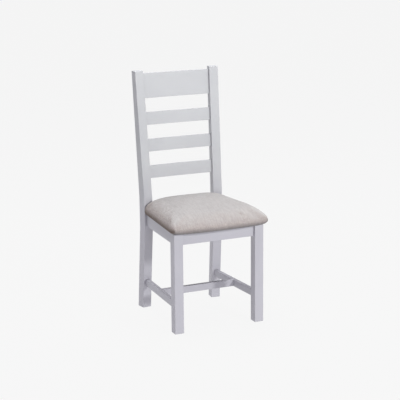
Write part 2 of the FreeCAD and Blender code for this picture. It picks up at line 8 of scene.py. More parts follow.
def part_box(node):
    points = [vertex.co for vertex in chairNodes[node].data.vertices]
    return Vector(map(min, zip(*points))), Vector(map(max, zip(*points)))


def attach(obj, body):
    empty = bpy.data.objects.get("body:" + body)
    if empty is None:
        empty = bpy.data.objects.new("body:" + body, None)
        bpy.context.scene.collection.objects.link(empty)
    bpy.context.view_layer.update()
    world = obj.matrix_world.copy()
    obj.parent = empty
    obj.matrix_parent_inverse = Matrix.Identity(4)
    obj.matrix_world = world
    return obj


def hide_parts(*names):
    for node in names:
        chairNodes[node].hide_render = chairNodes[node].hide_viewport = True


# The looks of a ladderback dining chair: painted wood, a linen seat, and the plain pieces below it.
# Everything is in metres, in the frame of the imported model: +Z up, +Y to the back, +X to the right
# as seen from the front.

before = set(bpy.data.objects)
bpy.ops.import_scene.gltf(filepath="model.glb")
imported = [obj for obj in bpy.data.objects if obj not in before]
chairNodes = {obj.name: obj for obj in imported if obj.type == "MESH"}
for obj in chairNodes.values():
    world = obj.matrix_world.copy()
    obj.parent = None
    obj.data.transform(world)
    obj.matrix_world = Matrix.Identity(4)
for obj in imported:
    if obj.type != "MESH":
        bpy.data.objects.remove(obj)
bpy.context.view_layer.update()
print("frame loaded:", len(chairNodes), "nodes")


# Camera

photoView = {
    "side": 400,                # pixels along each side of the picture
    "focal": 1281.2,            # pixels
    "centre": (208.2, 207.5),   # the pixel that the lens looks straight at
    "azimuth": -24.78,          # degrees round from the front, below zero towards -X
    "elevation": 13.43,
    "roll": -0.47,
    "distance": 5.384,
    "aimHeight": 0.5,
    "aimAlong": -0.1027,        # on Y
    "sensor": 36.0,             # millimetres
    "clipEnd": 1500,
}


def placeCamera(view):
    turn = math.radians(view["azimuth"])
    lift = math.radians(view["elevation"])
    roll = math.radians(view["roll"])
    back = Vector((math.sin(turn) * math.cos(lift), -math.cos(turn) * math.cos(lift), math.sin(lift)))
    levelRight = Vector((0, 0, 1)).cross(back).normalized()
    levelUp = back.cross(levelRight)
    right = levelRight * math.cos(roll) + levelUp * math.sin(roll)
    up = levelUp * math.cos(roll) - levelRight * math.sin(roll)
    half = view["side"] / 2
    lens = bpy.data.cameras.new("photoCamera")
    lens.sensor_width = view["sensor"]
    lens.lens = view["focal"] / view["side"] * view["sensor"]
    lens.shift_x = (half - view["centre"][0]) / view["side"]
    lens.shift_y = (view["centre"][1] - half) / view["side"]
    lens.clip_end = view["clipEnd"]
    camera = bpy.data.objects.new("photoCamera", lens)
    bpy.context.scene.collection.objects.link(camera)
    place = Matrix((right, up, back)).transposed().to_4x4()
    aim = Vector((0, view["aimAlong"], view["aimHeight"]))
    place.translation = aim + back * view["distance"]
    camera.matrix_world = place
    bpy.context.scene.camera = camera


placeCamera(photoView)
print("camera placed")


# Shader sums

class Wire:
    # a socket of a material's node tree: sums written with wires add the Math nodes

    def __init__(self, tree, socket=None):
        self.tree = tree
        self.socket = socket

    def add(self, kind, settings, values, out=0):
        node = self.tree.nodes.new("ShaderNode" + kind)
        for key, value in settings.items():
            setattr(node, key, value)
        for key, value in values.items():
            if isinstance(value, Wire):
                self.tree.links.new(value.socket, node.inputs[key])
            else:
                node.inputs[key].default_value = value
        return Wire(self.tree, node.outputs[out] if node.outputs else None)

    def maths(self, operation, *values):
        return self.add("Math", {"operation": operation}, dict(enumerate(values)))

    def __add__(self, other):
        return self.maths("ADD", self, other)

    def __radd__(self, other):
        return self.maths("ADD", other, self)

    def __sub__(self, other):
        return self.maths("SUBTRACT", self, other)

    def __rsub__(self, other):
        return self.maths("SUBTRACT", other, self)

    def __mul__(self, other):
        return self.maths("MULTIPLY", self, other)

    def __rmul__(self, other):
        return self.maths("MULTIPLY", other, self)

    def __truediv__(self, other):
        return self.maths("DIVIDE", self, other)

    def __gt__(self, other):
        return self.maths("GREATER_THAN", self, other)

    def abs(self):
        return self.maths("ABSOLUTE", self)

    def floor(self):
        return self.maths("FLOOR", self)

    def cosine(self):
        return self.maths("COSINE", self)

    def sine(self):
        return self.maths("SINE", self)

    def larger(self, other):
        return self.maths("MAXIMUM", self, other)

    def within(self, low, high):
        # smooth step from 0 at low to 1 at high
        return self.add("MapRange", {"interpolation_type": "SMOOTHSTEP"},
                        {"Value": self, "From Min": low, "From Max": high})

    def part(self, axis):
        return self.add("SeparateXYZ", {}, {0: self}, axis)

    def facing(self, axis):
        # how far the surface faces along an axis
        return self.add("NewGeometry", {}, {}, "Normal").part(axis)

    def scaled(self, scale):
        return self.add("Mapping", {}, {"Vector": self, "Scale": scale})

    def noise(self, scale, detail=3.0, roughness=0.5, distortion=0.0, lift=0):
        # lift moves the pattern, so that two noises of one scale differ
        place = self if not lift else self.add("Mapping", {}, {"Vector": self, "Location": (lift, lift, lift)})
        return self.add("TexNoise", {}, {"Vector": place, "Scale": scale, "Detail": detail,
                                         "Roughness": roughness, "Distortion": distortion})

    def blend(self, first, second, mode="MIX"):
        # the first colour where this wire is 0, and the second where it is 1
        first, second = [colour if isinstance(colour, Wire) else (*colour, 1) for colour in (first, second)]
        return self.add("Mix", {"data_type": "RGBA", "blend_type": mode}, {0: self, 6: first, 7: second}, 2)

    def bump(self, distance, strength=1.0, normal=None):
        values = {"Height": self, "Distance": distance, "Strength": strength}
        if normal:
            values["Normal"] = normal
        return self.add("Bump", {}, values)


def startMaterial(name):
    material = bpy.data.materials.new(name)
    material.use_nodes = True
    material.node_tree.nodes.clear()
    tree = Wire(material.node_tree)
    place = tree.add("TexCoord", {}, {}, "Object")
    return material, place


def finishMaterial(material, values):
    # the surface: what varies is linked, and what is the same all over is set on the shader itself
    tree = Wire(material.node_tree)
    surface = tree.add("BsdfPrincipled", {}, values)
    tree.add("OutputMaterial", {}, {"Surface": surface})
    return material


def wearLine(place, radius):
    # 1 on rounded arrises and 0 on flats
    rounded = place.add("Bevel", {"samples": 6}, {"Radius": radius}, "Normal")
    flat = place.add("NewGeometry", {}, {}, "Normal")
    same = place.add("VectorMath", {"operation": "DOT_PRODUCT"}, {0: rounded, 1: flat}, "Value")
    return (1 - same).within(0.004, 0.06)


# Paint over wood

paint = {
    "coat": (0.480, 0.474, 0.522),
    "deep": (0.458, 0.452, 0.501),
    "lightTint": (1.0, 1.03, 0.97),        # painted tint of the light on the back, a touch greener and less blue
    "lightTintFrom": 0.35,
    "lightTintTo": 0.65,
    "darkTone": (0.84, 0.84, 0.86),         # painted shade on the posts' sides, in full at their tops
    "sideShadeFrom": 0.35,
    "sideShadeTo": 1.05,
    "thin": (0.537, 0.539, 0.559),      # on the arrises, where it is rubbed thin
    "thinShare": 0.55,
    "crease": (0.26, 0.25, 0.27),       # painted shade in the corners where pieces meet, found by ambient occlusion
    "creaseShadeShare": 0.34,
    "creaseShadeReach": 0.012,
    "figureScale": 120,
    "poreScale": 520,
    "cloudScale": 7,
    "peelScale": 900,                   # the sprayed coat's fine ripple
    "rubScale": 38,
    "roughness": 0.46,
    "grainDepth": 0.00005,
    "peelDepth": 0.00002,
    "arris": 0.0030,
}


def paintedWood(name, stretch):
    # stretch is small along the grain
    material, place = startMaterial(name)
    grainPlace = place.scaled(stretch)
    figure = grainPlace.noise(paint["figureScale"], 5, 0.62, 0.6)
    pores = grainPlace.noise(paint["poreScale"], 3, 0.7, 0, 3)
    cloud = place.noise(paint["cloudScale"], 3, 0.5, 0, 11)
    peel = place.noise(paint["peelScale"], 2, 0.5)
    arris = wearLine(place, paint["arris"])
    rubbed = arris * place.noise(paint["rubScale"], 3, 0.6, 0, 5).within(0.42, 0.68)
    # painted shade: darker in the corners where pieces meet, found by ambient occlusion
    openness = place.add("AmbientOcclusion", {"samples": 8, "inside": False},
                         {"Distance": paint["creaseShadeReach"]}, "AO")
    crease = (1 - openness).within(0.2, 0.9) * paint["creaseShadeShare"]
    rise = place.part("Z")
    # painted tint of the light: higher parts a touch greener and less blue
    lightTint = rise.within(paint["lightTintFrom"], paint["lightTintTo"])
    # painted shade on the sides of the posts, deeper towards their tops
    darkTone = place.facing("X").abs().within(0.6, 0.9) * rise.within(paint["sideShadeFrom"], paint["sideShadeTo"])
    colour = (cloud * 0.8 + figure * 0.2).within(0.34, 0.66).blend(paint["deep"], paint["coat"])
    colour = lightTint.blend(colour, paint["lightTint"], "MULTIPLY")
    colour = darkTone.blend(colour, paint["darkTone"], "MULTIPLY")
    colour = (rubbed * paint["thinShare"]).blend(colour, paint["thin"])
    colour = crease.blend(colour, paint["crease"])
    roughness = paint["roughness"] + (figure - 0.5) * 0.10 + (cloud - 0.5) * 0.08 - rubbed * 0.08
    pits = pores.within(0.30, 0.46)
    relief = (figure * 0.6 + pits * 0.4).bump(paint["grainDepth"], 0.9)
    relief = peel.bump(paint["peelDepth"], 0.8, relief)
    return finishMaterial(material, {"Base Color": colour, "Roughness": roughness, "Normal": relief,
                                     "Specular IOR Level": 0.45})


alongX = (0.05, 1.0, 1.0)
alongY = (1.0, 0.05, 1.0)
alongZ = (1.0, 1.0, 0.05)
paintedGrain = {
    "front_leg_left": alongZ, "front_leg_right": alongZ,
    "back_post_left": alongZ, "back_post_right": alongZ,
    "top_rail": alongX, "slat_upper": alongX, "slat_middle": alongX, "slat_lower": alongX,
    "front_apron": alongX, "back_apron": alongX, "cross_stretcher": alongX,
    "side_apron_left": alongY, "side_apron_right": alongY,
    "side_stretcher_left": alongY, "side_stretcher_right": alongY,
}


def dress(node, material):
    slots = chairNodes[node].data.materials
    if len(slots) == 0:
        slots.append(material)
    for index in range(len(slots)):
        slots[index] = material


paintByGrain = {
    alongX: paintedWood("paintedWoodAcross", alongX),
    alongY: paintedWood("paintedWoodFrontToBack", alongY),
    alongZ: paintedWood("paintedWoodUpright", alongZ),
}
for node, grain in paintedGrain.items():
    dress(node, paintByGrain[grain])
print("painted wood done")


# Bare wood of the corner blocks

bareWoodTones = {
    "early": (0.62, 0.42, 0.24),
    "late": (0.42, 0.25, 0.125),
    "pore": (0.26, 0.14, 0.07),
    "poreShare": 0.6,
    "ringTurn": 1318.8,         # radians to a metre, a ring about every 5 mm
    "warpScale": 26,
    "fibreScale": 700,
    "poreScale": 420,
    "grainDepth": 0.00012,
}


def bareWood():
    material, place = startMaterial("bareHardwood")
    grainPlace = place.scaled((0.10, 1.0, 1.0))
    warp = grainPlace.noise(bareWoodTones["warpScale"], 3, 0.5)
    across = place.part("Z") * 0.8 + place.part("Y") * 0.6
    rings = (across * bareWoodTones["ringTurn"] + warp * 14).sine() * 0.5 + 0.5
    fibre = grainPlace.noise(bareWoodTones["fibreScale"], 4, 0.65)
    pores = grainPlace.noise(bareWoodTones["poreScale"], 2, 0.5, 0, 4).within(0.62, 0.72)
    tone = (rings * 0.7 + fibre * 0.3).within(0.2, 0.8)
    colour = tone.blend(bareWoodTones["late"], bareWoodTones["early"])
    colour = (pores * bareWoodTones["poreShare"]).blend(colour, bareWoodTones["pore"])
    roughness = 0.62 + (fibre - 0.5) * 0.2
    relief = (fibre - pores).bump(bareWoodTones["grainDepth"], 0.8)
    return finishMaterial(material, {"Base Color": colour, "Roughness": roughness, "Normal": relief})


blockWood = bareWood()
for corner in ("front_left", "front_right", "back_left", "back_right"):
    dress("corner_block_" + corner, blockWood)


# Plywood of the seat board

plywoodTones = {
    "face": (0.66, 0.50, 0.33),
    "faceDark": (0.52, 0.36, 0.22),
    "edgeLong": (0.60, 0.44, 0.28),
    "edgeEnd": (0.38, 0.24, 0.14),
    "layerTurn": 2616.67,       # radians to a metre, two veneers every 2.4 mm
    "fibreScale": 240,
    "fibreDepth": 0.0001,
}


def plywood():
    material, place = startMaterial("plywood")
    fibre = place.scaled((1.0, 0.06, 1.0)).noise(plywoodTones["fibreScale"], 5, 0.6, 0.8)
    layer = (place.part("Z") * plywoodTones["layerTurn"]).sine().within(-0.15, 0.15)
    flat = place.facing("Z").abs().within(0.5, 0.8)
    face = fibre.within(0.3, 0.7).blend(plywoodTones["faceDark"], plywoodTones["face"])
    edge = layer.blend(plywoodTones["edgeEnd"], plywoodTones["edgeLong"])
    return finishMaterial(material, {"Base Color": flat.blend(edge, face),
                                     "Roughness": 0.7 + (fibre - 0.5) * 0.2,
                                     "Normal": fibre.bump(plywoodTones["fibreDepth"], 0.7)})


dress("seat_board", plywood())


# Foam of the cushion, hidden under its cover

foamTones = {
    "cell": (0.70, 0.64, 0.42),
    "wall": (0.86, 0.80, 0.60),
    "cellScale": 900,
    "cellDepth": 0.0004,
}


def foam():
    material, place = startMaterial("seatFoam")
    cells = place.add("TexVoronoi", {"feature": "F1"},
                      {"Vector": place, "Scale": foamTones["cellScale"]}, "Distance")
    colour = cells.within(0.1, 0.6).blend(foamTones["cell"], foamTones["wall"])
    return finishMaterial(material, {"Base Color": colour, "Roughness": 0.9 - cells * 0.1,
                                     "Normal": cells.bump(foamTones["cellDepth"], 0.8)})


dress("seat_foam", foam())


# Spun cloth of the dust cover

dustCloth = {
    "fibre": (0.020, 0.020, 0.022),
    "dust": (0.055, 0.053, 0.050),
    "dimplePitch": 0.0022,
    "dimpleDepth": 0.0002,
    "fibreScale": 1400,
    "dustScale": 16,
}


def spunCloth():
    material, place = startMaterial("spunDustCloth")
    across = place.part("X") / dustCloth["dimplePitch"]
    along = place.part("Y") / dustCloth["dimplePitch"]
    pressed = (((across + along) * math.pi).sine() * ((across - along) * math.pi).sine()).within(0.35, 0.75)
    fibres = place.noise(dustCloth["fibreScale"], 4, 0.75, 2.5)
    dusty = fibres.within(0.4, 0.75) * 0.6 + place.noise(dustCloth["dustScale"], 3, 0.6) * 0.3
    relief = (fibres * 0.4 - pressed * 0.6).bump(dustCloth["dimpleDepth"], 0.9)
    return finishMaterial(material, {"Base Color": dusty.blend(dustCloth["fibre"], dustCloth["dust"]),
                                     "Roughness": 0.82 - pressed * 0.25, "Normal": relief})


dress("seat_dust_cover", spunCloth())


# Zinc-plated steel of the screws and staples

zincTones = {
    "darkTone": (0.50, 0.50, 0.49),
    "bright": (0.72, 0.71, 0.66),
    "bloomScale": 260,
    "scratchScale": 1500,
    "scratchDepth": 0.00003,
}


def zincSteel():
    material, place = startMaterial("zincSteel")
    bloom = place.noise(zincTones["bloomScale"], 4, 0.6)
    scratch = place.scaled((1.0, 0.08, 1.0)).noise(zincTones["scratchScale"], 2, 0.5)
    colour = bloom.within(0.3, 0.7).blend(zincTones["darkTone"], zincTones["bright"])
    roughness = 0.30 + bloom * 0.18 + scratch * 0.06
    return finishMaterial(material, {"Base Color": colour, "Metallic": 1.0, "Roughness": roughness,
                                     "Normal": scratch.bump(zincTones["scratchDepth"], 0.5)})


steel = zincSteel()
for node in ("corner_block_screws", "seat_screws", "cover_staples"):
    dress(node, steel)


# Nylon of the glides

nylonTones = {
    "clean": (0.50, 0.49, 0.46),
    "grime": (0.17, 0.155, 0.14),       # where it rubs on the floor
    "grimeShare": 0.7,
    "scuffScale": 480,
    "scuffDepth": 0.00006,
}


def nylon():
    material, place = startMaterial("nylonGlide")
    scuff = place.noise(nylonTones["scuffScale"], 5, 0.7, 0.5)
    grime = (0 - place.facing("Z")).within(0.6, 0.95) * scuff.within(0.42, 0.7)
    colour = (grime * nylonTones["grimeShare"]).blend(nylonTones["clean"], nylonTones["grime"])
    return finishMaterial(material, {"Base Color": colour, "Roughness": 0.42 + grime * 0.35,
                                     "Normal": scuff.bump(nylonTones["scuffDepth"], 0.6)})


glideNylon = nylon()
for corner in ("front_left", "front_right", "back_left", "back_right"):
    dress("glide_" + corner, glideNylon)
print("small parts done")


# Linen of the seat

coverLow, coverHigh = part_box("seat_cover")
linenCloth = {
    "thread": 0.00105,                  # from one thread to the next
    "threadDepth": 0.00035,
    "warp": (0.477, 0.431, 0.420),
    "warpDark": (0.346, 0.302, 0.291),
    "weft": (0.510, 0.467, 0.455),
    "weftDark": (0.374, 0.332, 0.320),
    "gap": (0.178, 0.150, 0.142),
    "patch": (0.47, 0.38, 0.35),
    "patchShare": 0.08,
    "litCrown": (0.412, 0.404, 0.408),     # painted light: the crown is cooler and greyer, as the cloth looks in full light
    "litCrownShare": 0.72,
    "shoulderLight": (0.62, 0.595, 0.585),  # painted light on the shoulder between the crown and the sides
    "hemShade": (0.120, 0.116, 0.124),    # painted shade along the bottom of the roll, where it turns under
    "hemShadeSide": (0.090, 0.054, 0.036),
    "hemShadeShare": 0.88,
    "hemHeight": 0.028,
    "hemUneven": 0.006,
    "higherAtSides": 0.0135,
    "mottleShare": 0.09,
    "streakShare": 0.13,
    "wander": 0.9,                      # threads that the weave strays sideways
    "wanderScale": 90,
    "slubScale": 620,
    "heatherScale": 150,
    "patchScale": 24,
    "mottleScale": 95,
    "streakScale": 165,
}


def woven(across, along):
    # a plain weave, coordinates in threads: where the warp lies on top, and how high the cloth stands
    column = across.floor()
    row = along.floor()
    warpHeight = (across * math.pi).sine().abs() * (((along + column - 0.5) * math.pi).cosine() * 0.5 + 0.5)
    weftHeight = (along * math.pi).sine().abs() * (0.5 - ((across + row - 0.5) * math.pi).cosine() * 0.5)
    return warpHeight > weftHeight, warpHeight.larger(weftHeight)


def threadShade(slub, thread, heather):
    # every thread has a tone of its own
    tone = thread.add("TexWhiteNoise", {"noise_dimensions": "1D"}, {"W": thread})
    return (slub * 0.6 + tone * 0.15 + heather * 0.35).within(0.32, 0.78)


def linen():
    # on the cloth's own coordinates, in metres along the warp and the weft
    material, place = startMaterial("seatLinen")
    cloth = place.add("UVMap", {"uv_map": "cloth"}, {}, "UV")
    wander = (place.noise(linenCloth["wanderScale"], 2, 0.5) - 0.5) * linenCloth["wander"]
    across = cloth.part("X") / linenCloth["thread"] + wander
    along = cloth.part("Y") / linenCloth["thread"] + wander
    onWarp, height = woven(across, along)
    warpSlub = cloth.scaled((1.0, 0.06, 1.0)).noise(linenCloth["slubScale"], 3, 0.6)
    weftSlub = cloth.scaled((0.06, 1.0, 1.0)).noise(linenCloth["slubScale"], 3, 0.6, 0, 9)
    heather = place.noise(linenCloth["heatherScale"], 4, 0.65, 0, 21)
    patch = place.noise(linenCloth["patchScale"], 2, 0.5, 0, 31)
    mottle = place.noise(linenCloth["mottleScale"], 3, 0.6, 0.4, 41)
    streak = cloth.scaled((1.0, 0.14, 1.0)).noise(linenCloth["streakScale"], 2, 0.5, 0.3, 51)

    warpShade = threadShade(warpSlub, across.floor(), heather)
    weftShade = threadShade(weftSlub, along.floor() + 0.37, heather)
    colour = onWarp.blend(weftShade.blend(linenCloth["weftDark"], linenCloth["weft"]),
                          warpShade.blend(linenCloth["warpDark"], linenCloth["warp"]))
    colour = (1 - height.within(0.05, 0.45)).blend(colour, linenCloth["gap"])
    colour = (patch.within(0.35, 0.65) * linenCloth["patchShare"]).blend(colour, linenCloth["patch"])

    upward = place.facing("Z")
    aside = place.facing("X").abs()
    # painted light: faces that look up take the cooler tone of cloth in full light
    colour = (upward.within(0.55, 0.97) * linenCloth["litCrownShare"]).blend(colour, linenCloth["litCrown"])
    # painted light: the shoulder between the crown and the sides is lighter
    shoulder = upward.within(0.97, 0.90) * upward.within(0.55, 0.82) * (aside.within(0.05, 0.35) * 0.20 + 0.09)
    colour = shoulder.blend(colour, linenCloth["shoulderLight"])

    # painted shade: darker towards the bottom of the roll, browner on the sides
    sideways = aside.within(0.3, 0.85)
    rise = place.part("Z") + (patch - 0.5) * linenCloth["hemUneven"] - sideways * linenCloth["higherAtSides"]
    hem = 1 - rise.within(coverLow.z, coverLow.z + linenCloth["hemHeight"])
    hemShade = sideways.blend(linenCloth["hemShade"], linenCloth["hemShadeSide"])
    colour = (hem * linenCloth["hemShadeShare"]).blend(colour, hemShade)
    colour = (mottle.within(0.60, 0.38) * linenCloth["mottleShare"]).blend(colour, linenCloth["gap"])
    colour = (streak.within(0.60, 0.40) * linenCloth["streakShare"]).blend(colour, linenCloth["gap"])

    slubs = (warpSlub.within(0.62, 0.8) * onWarp + weftSlub.within(0.62, 0.8) * (1 - onWarp)) * 0.5
    return finishMaterial(material, {"Base Color": colour, "Roughness": 0.86 + (heather - 0.5) * 0.12,
                                     "Normal": (height + slubs).bump(linenCloth["threadDepth"], 0.8),
                                     "Sheen Weight": 0.12, "Sheen Roughness": 0.5,
                                     "Specular IOR Level": 0.25})


# Seat cushion: a crowned pad in a linen cover, pulled down over the edges of the board

seatPad = {
    "sideTaper": 0.0368,        # how much nearer the middle the side edge lies at the back
    "frontBow": 0.0152,
    "bowPower": 8,              # higher keeps the bow nearer to the front edge
    "frontCorner": 0.0231,
    "backCorner": 0.006,
    "cornerGrowth": 0.6776,
    "rollHeight": 0.0189,
    "rollTuck": 0.023,
    "rollTuckBack": 0.0012,
    "backBow": 0.0100,          # between the posts it bulges back onto the apron
    "backBowSquare": 6,
    "reachSide": 0.0631,
    "reachFront": 0.0921,
    "reachBack": 0.0445,
    "fullSide": 2.2978,         # 1 is a straight slope, 2 an ellipse, and more is boxier
    "fullFront": 1.8328,
    "fullBack": 2.6126,
    "shoulderLift": -0.0177,    # of the shoulder over the top of the frame's own cover
    "sideOut": 0.0015,
    "frontOut": 0.0054,
    "backOut": 0.0014,
    "domeRise": 0.0205,         # of the crown over the shoulder
    "drawnIn": -0.0022,         # all round, before it swells: below zero is further out
    "outlinePoints": 240,
    "rollRings": 6,
    "sideSteps": 15,            # the last two are left out, where the dome starts
    "domeSteps": 16,
    "voxel": 0.0045,
}


def padOutline(inSide, inFront, inBack, bow, height):
    # a trapezium with rounded corners and a bowed front, as points anticlockwise
    yFront = coverLow.y + seatPad["frontBow"] - seatPad["frontOut"] + inFront
    yBack = coverHigh.y + seatPad["backOut"] - inBack
    length = coverHigh.y - coverLow.y
    taper = seatPad["sideTaper"] / length
    widest = coverHigh.x + seatPad["sideOut"]
    xFront = widest - inSide - taper * inFront
    xBack = widest - seatPad["sideTaper"] - inSide + taper * inBack
    drawn = (inSide + inFront + inBack) / 3
    frontCorner = seatPad["frontCorner"] + seatPad["cornerGrowth"] * drawn
    backCorner = seatPad["backCorner"] + seatPad["cornerGrowth"] * drawn
    corners = [(Vector((-xFront, yFront)), frontCorner), (Vector((xFront, yFront)), frontCorner),
               (Vector((xBack, yBack)), backCorner), (Vector((-xBack, yBack)), backCorner)]
    points = []
    for index, (corner, radius) in enumerate(corners):
        before = (corners[index - 1][0] - corner).normalized()
        after = (corners[(index + 1) % 4][0] - corner).normalized()
        points += roundedCorner(corner, before, after, radius)
    outline = []
    for x, y in evenly(points, seatPad["outlinePoints"]):
        frontness = max(0.0, min(1.0, (yBack - y) / (yBack - yFront)))
        lean = bow * frontness ** seatPad["bowPower"] * (1 - (x / xFront) ** 2)
        square = 1 - min(1.0, abs(x / xBack)) ** seatPad["backBowSquare"]
        bulge = seatPad["backBow"] * (1 - frontness) ** seatPad["bowPower"] * square
        outline.append(Vector((x, y - lean + bulge, height)))
    return outline


def roundedCorner(corner, before, after, radius, steps=10):
    halfAngle = before.angle(after) / 2
    middle = corner + (before + after).normalized() * (radius / math.sin(halfAngle))
    start = corner + before * (radius / math.tan(halfAngle)) - middle
    sweep = math.pi - 2 * halfAngle
    points = []
    for step in range(steps + 1):
        points.append(middle + Matrix.Rotation(sweep * step / steps, 2) @ start)
    return points


def evenly(points, count):
    # the same closed line with its points at even steps
    closed = points + [points[0]]
    travelled = [0.0]
    for first, second in zip(closed, closed[1:]):
        travelled.append(travelled[-1] + (second - first).length)
    spread = []
    at = 0
    for index in range(count):
        goal = travelled[-1] * index / count
        while travelled[at + 1] < goal:
            at += 1
        share = (goal - travelled[at]) / (travelled[at + 1] - travelled[at])
        spread.append(closed[at].lerp(closed[at + 1], share))
    return spread


def drawnIn(rise, fullness):
    # the share of its way in to the crown that a side has gone at this share of the rise
    return 1 - max(0.0, 1 - rise ** fullness) ** (1 / fullness)


def padRings():
    # from the flat underside out round the roll and up to the shoulder, then over the crown
    foot = coverLow.z
    widest = foot + seatPad["rollHeight"]
    small = seatPad["drawnIn"]
    top = coverHigh.z + seatPad["shoulderLift"] - small
    rings = []
    for step in range(seatPad["rollRings"]):
        turn = math.pi / 2 * step / (seatPad["rollRings"] - 1)
        tuck = 1 - math.sin(turn)
        inSide = small + seatPad["rollTuck"] * tuck
        inBack = small + seatPad["rollTuckBack"] * tuck
        height = widest - (widest - foot) * math.cos(turn)
        rings.append(padOutline(inSide, inSide, inBack, seatPad["frontBow"], height))
    for step in range(1, seatPad["sideSteps"] - 1):
        rise = math.sin(math.pi / 2 * step / seatPad["sideSteps"]) ** (2 / seatPad["fullSide"])
        inSide, inFront, inBack = [drawnIn(rise, seatPad["full" + side]) for side in ("Side", "Front", "Back")]
        rings.append(padOutline(small + seatPad["reachSide"] * inSide, small + seatPad["reachFront"] * inFront,
                                small + seatPad["reachBack"] * inBack, seatPad["frontBow"] * (1 - inFront),
                                widest + (top - widest) * rise))
    return rings + domeRings(rings[-1])


def domeRings(shoulder):
    # from the shoulder up to the middle, each ring nearer to an ellipse
    centre = sum(shoulder, Vector()) / len(shoulder)
    halfAcross = max(point.x - centre.x for point in shoulder)
    halfAlong = max(point.y - centre.y for point in shoulder)
    rings = []
    for step in range(1, seatPad["domeSteps"]):
        share = 1 - step / seatPad["domeSteps"]
        lift = Vector((0, 0, seatPad["domeRise"] * (1 - share ** 2)))
        ring = []
        for point in shoulder:
            out = point - centre
            ellipse = 1 / math.hypot(out.x / halfAcross, out.y / halfAlong)
            ring.append(centre + out * share * (1 + (ellipse - 1) * (1 - share)) + lift)
        rings.append(ring)
    return rings


def ringMesh(name, rings):
    mesh = bmesh.new()
    loops = [[mesh.verts.new(point) for point in ring] for ring in rings]
    for lower, upper in zip(loops, loops[1:]):
        for index in range(len(lower)):
            after = (index + 1) % len(lower)
            mesh.faces.new((lower[index], lower[after], upper[after], upper[index]))
    mesh.faces.new(list(reversed(loops[0])))
    mesh.faces.new(loops[-1])
    data = bpy.data.meshes.new(name)
    mesh.to_mesh(data)
    mesh.free()
    piece = bpy.data.objects.new(name, data)
    bpy.context.scene.collection.objects.link(piece)
    return piece


def applyModifiers(piece):
    # the modifiers become the piece's own mesh
    depsgraph = bpy.context.evaluated_depsgraph_get()
    data = bpy.data.meshes.new_from_object(piece.evaluated_get(depsgraph))
    piece.modifiers.clear()
    piece.data = data


def remesh(piece, size):
    even = piece.modifiers.new("even", "REMESH")
    even.mode = "VOXEL"
    even.voxel_size = size
    applyModifiers(piece)


airCloth = {
    "quality": 4,
    "mass": 0.3,
    "tension_stiffness": 12,
    "compression_stiffness": 12,
    "bending_stiffness": 0.6,
    "use_pressure": True,
    "uniform_pressure_force": 4.0,
}
swelling = {
    "stiffEdge": 0.016,         # the edge over the board keeps its line up to this height
    "frames": 20,
    "evenings": 14,             # times that the shifts are averaged with their neighbours'
    "most": 0.009,              # that a point may move
}


def inflate(piece):
    before = [vertex.co.copy() for vertex in piece.data.vertices]
    edge = piece.vertex_groups.new(name="edge")
    low = [index for index, point in enumerate(before) if point.z < coverLow.z + swelling["stiffEdge"]]
    edge.add(low, 1.0, "REPLACE")
    cloth = piece.modifiers.new("air", "CLOTH")
    for key, value in airCloth.items():
        setattr(cloth.settings, key, value)
    cloth.settings.effector_weights.gravity = 0
    cloth.settings.vertex_group_mass = "edge"
    cloth.collision_settings.use_collision = False
    for moment in range(1, swelling["frames"] + 1):
        bpy.context.scene.frame_set(moment)
    depsgraph = bpy.context.evaluated_depsgraph_get()
    swollen = [vertex.co.copy() for vertex in piece.evaluated_get(depsgraph).data.vertices]
    piece.modifiers.clear()
    piece.vertex_groups.clear()
    bpy.context.scene.frame_set(1)
    most = swelling["most"]
    shifts = evenedOut(piece, [end - start for start, end in zip(before, swollen)])
    for vertex, start, shift in zip(piece.data.vertices, before, shifts):
        reach = shift.length
        if reach > 1e-7:
            vertex.co = start + shift * (most * math.tanh(reach / most) / reach)
    furthest = max(shift.length for shift in shifts)
    print("cushion swelled by at most", round(furthest * 1000, 1), "mm before the cap")


def evenedOut(piece, shifts):
    # each point's shift averaged with its neighbours' a few times, which takes the small folds out
    neighbours = [[] for shift in shifts]
    for edge in piece.data.edges:
        first, second = edge.vertices
        neighbours[first].append(second)
        neighbours[second].append(first)
    for _ in range(swelling["evenings"]):
        shifts = [sum([shifts[other] for other in near], shift) / (len(near) + 1)
                  for shift, near in zip(shifts, neighbours)]
    return shifts


def subdivide(piece):
    fine = piece.modifiers.new("fine", "SUBSURF")
    fine.levels = 1
    fine.render_levels = 1
    applyModifiers(piece)


pullMarks = {
    "pitch": 0.021,             # between the staples that make them
    "depth": 0.0017,
    "height": 0.028,            # they fade over this height
    "width": 0.0036,
    "stray": 0.55,              # share of the pitch
    "lean": 0.3,
    "spread": 0.16,             # they widen by this much of their height
    "seedFront": 1.0,
    "seedBack": 2.0,
    "seedRight": 3.0,
    "seedLeft": 5.0,
}
cornerTucks = {
    "offsets": (-0.009, 0.0, 0.008),    # along the edge from the corner's middle
    "depth": 0.0008,
    "height": 0.010,
    "width": 0.0024,
    "within": 0.055,
    "fanOut": 5,                # the offsets grow with height by this much to a metre
    "widen": 20,
    "inFront": 0.008,           # from the cover's edges to the middle of a corner
    "inBack": 0.006,
}
waver = {                       # slow unevenness of the whole surface
    "depth": 0.0009,
    "scales": {14: 1.0, 34: 0.5, 90: 0.25},
    "fullFrom": 0.02,           # height
}
creases = {                     # short creases and swells of the cover, in plan; a swell's depth is negative
    "frontRight": {"from": (0.096, -0.215), "to": (0.100, -0.240), "depth": 0.0022, "width": 0.0038},
    "frontRightSwell": {"from": (0.104, -0.200), "to": (0.112, -0.214), "depth": -0.0024, "width": 0.008},
    "frontLeftRidge": {"from": (-0.194, -0.194), "to": (-0.209, -0.234), "depth": -0.0018, "width": 0.008},
    "leftLong": {"from": (-0.158, -0.022), "to": (-0.174, -0.048), "depth": 0.0014, "width": 0.005},
    "leftShort": {"from": (-0.166, -0.088), "to": (-0.180, -0.074), "depth": 0.0012, "width": 0.005},
}


